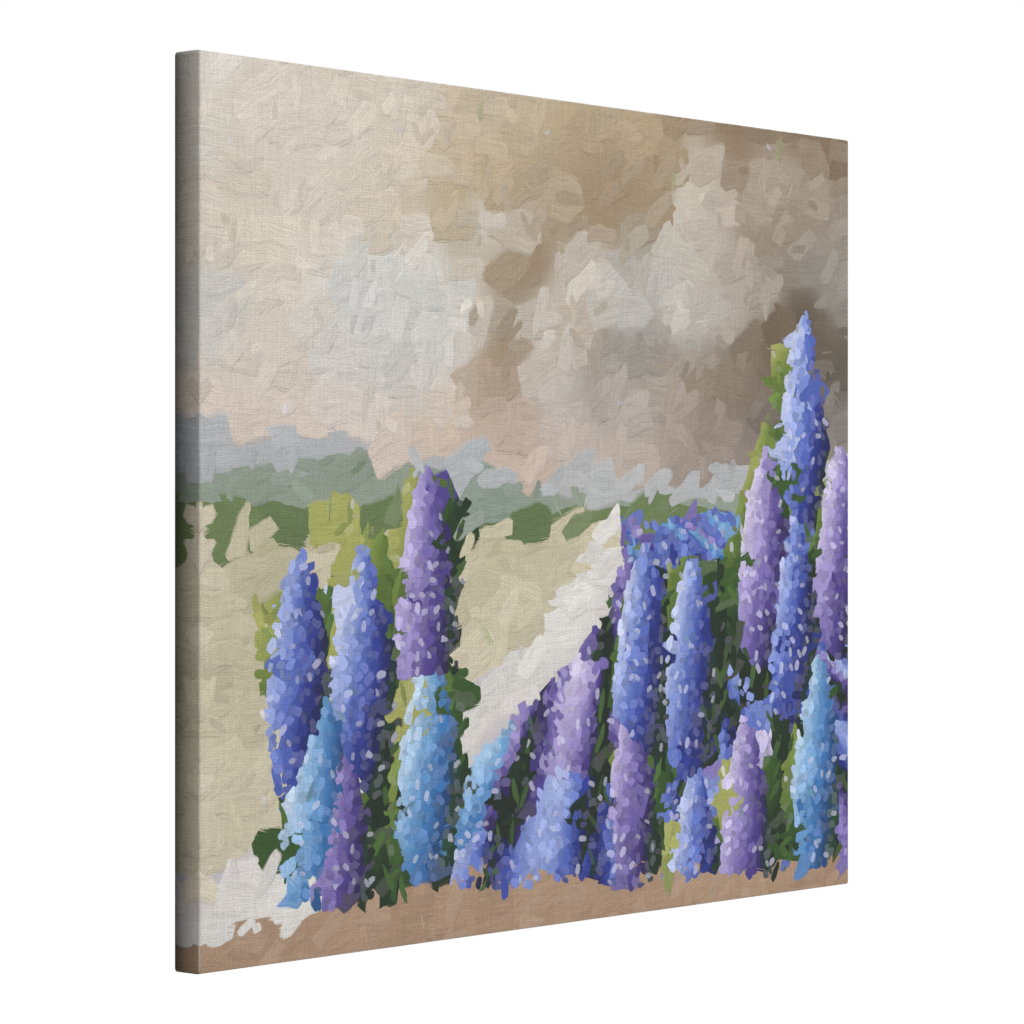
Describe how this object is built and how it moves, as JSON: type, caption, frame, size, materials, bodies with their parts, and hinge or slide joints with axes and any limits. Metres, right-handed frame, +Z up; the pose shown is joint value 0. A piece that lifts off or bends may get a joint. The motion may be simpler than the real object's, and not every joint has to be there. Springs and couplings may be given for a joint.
{
  "type": "stretched canvas picture",
  "caption": "Stretched canvas picture: printed cotton canvas wrapped round a keyed pine stretcher frame, stapled at the back, with a sawtooth hanger and felt wall pads.",
  "frame": {"origin": "top of the hanger's middle notch, where the wall nail carries the picture, on the wall's face", "axes": "+X to the viewer's right along the picture's width, +Y into the wall, +Z up; the picture faces -Y"},
  "size_m": [0.6, 0.0228, 0.5],
  "materials": {
    "printed_canvas": "matte plain-woven cotton canvas, pigment printed on a primed face, raw on its inner face",
    "pine": "planed, unfinished pine",
    "beech": "sawn, unfinished beech",
    "staple_steel": "galvanised flat wire",
    "hanger_steel": "zinc-plated pressed strip",
    "pin_brass": "bright brass-plated",
    "felt": "pressed dark grey felt"
  },
  "bodies": {
    "root": {"canvas": "printed_canvas", "bar_bottom": "pine", "bar_left": "pine", "bar_right": "pine", "bar_top": "pine", "key_bottom_1": "beech", "key_bottom_2": "beech", "key_left_1": "beech", "key_left_2": "beech", "key_right_1": "beech", "key_right_2": "beech", "key_top_1": "beech", "key_top_2": "beech", "hanger": "hanger_steel", "pin_left": "pin_brass", "pin_right": "pin_brass", "pad_left": "felt", "pad_right": "felt", "staple_bottom_1": "staple_steel", "staple_bottom_10": "staple_steel", "staple_bottom_11": "staple_steel", "staple_bottom_12": "staple_steel", "staple_bottom_2": "staple_steel", "staple_bottom_3": "staple_steel", "staple_bottom_4": "staple_steel", "staple_bottom_5": "staple_steel", "staple_bottom_6": "staple_steel", "staple_bottom_7": "staple_steel", "staple_bottom_8": "staple_steel", "staple_bottom_9": "staple_steel", "staple_left_1": "staple_steel", "staple_left_2": "staple_steel", "staple_left_3": "staple_steel", "staple_left_4": "staple_steel", "staple_left_5": "staple_steel", "staple_left_6": "staple_steel", "staple_left_7": "staple_steel", "staple_left_8": "staple_steel", "staple_right_1": "staple_steel", "staple_right_2": "staple_steel", "staple_right_3": "staple_steel", "staple_right_4": "staple_steel", "staple_right_5": "staple_steel", "staple_right_6": "staple_steel", "staple_right_7": "staple_steel", "staple_right_8": "staple_steel", "staple_top_1": "staple_steel", "staple_top_10": "staple_steel", "staple_top_11": "staple_steel", "staple_top_12": "staple_steel", "staple_top_2": "staple_steel", "staple_top_3": "staple_steel", "staple_top_4": "staple_steel", "staple_top_5": "staple_steel", "staple_top_6": "staple_steel", "staple_top_7": "staple_steel", "staple_top_8": "staple_steel", "staple_top_9": "staple_steel"}
  },
  "joints": []
}
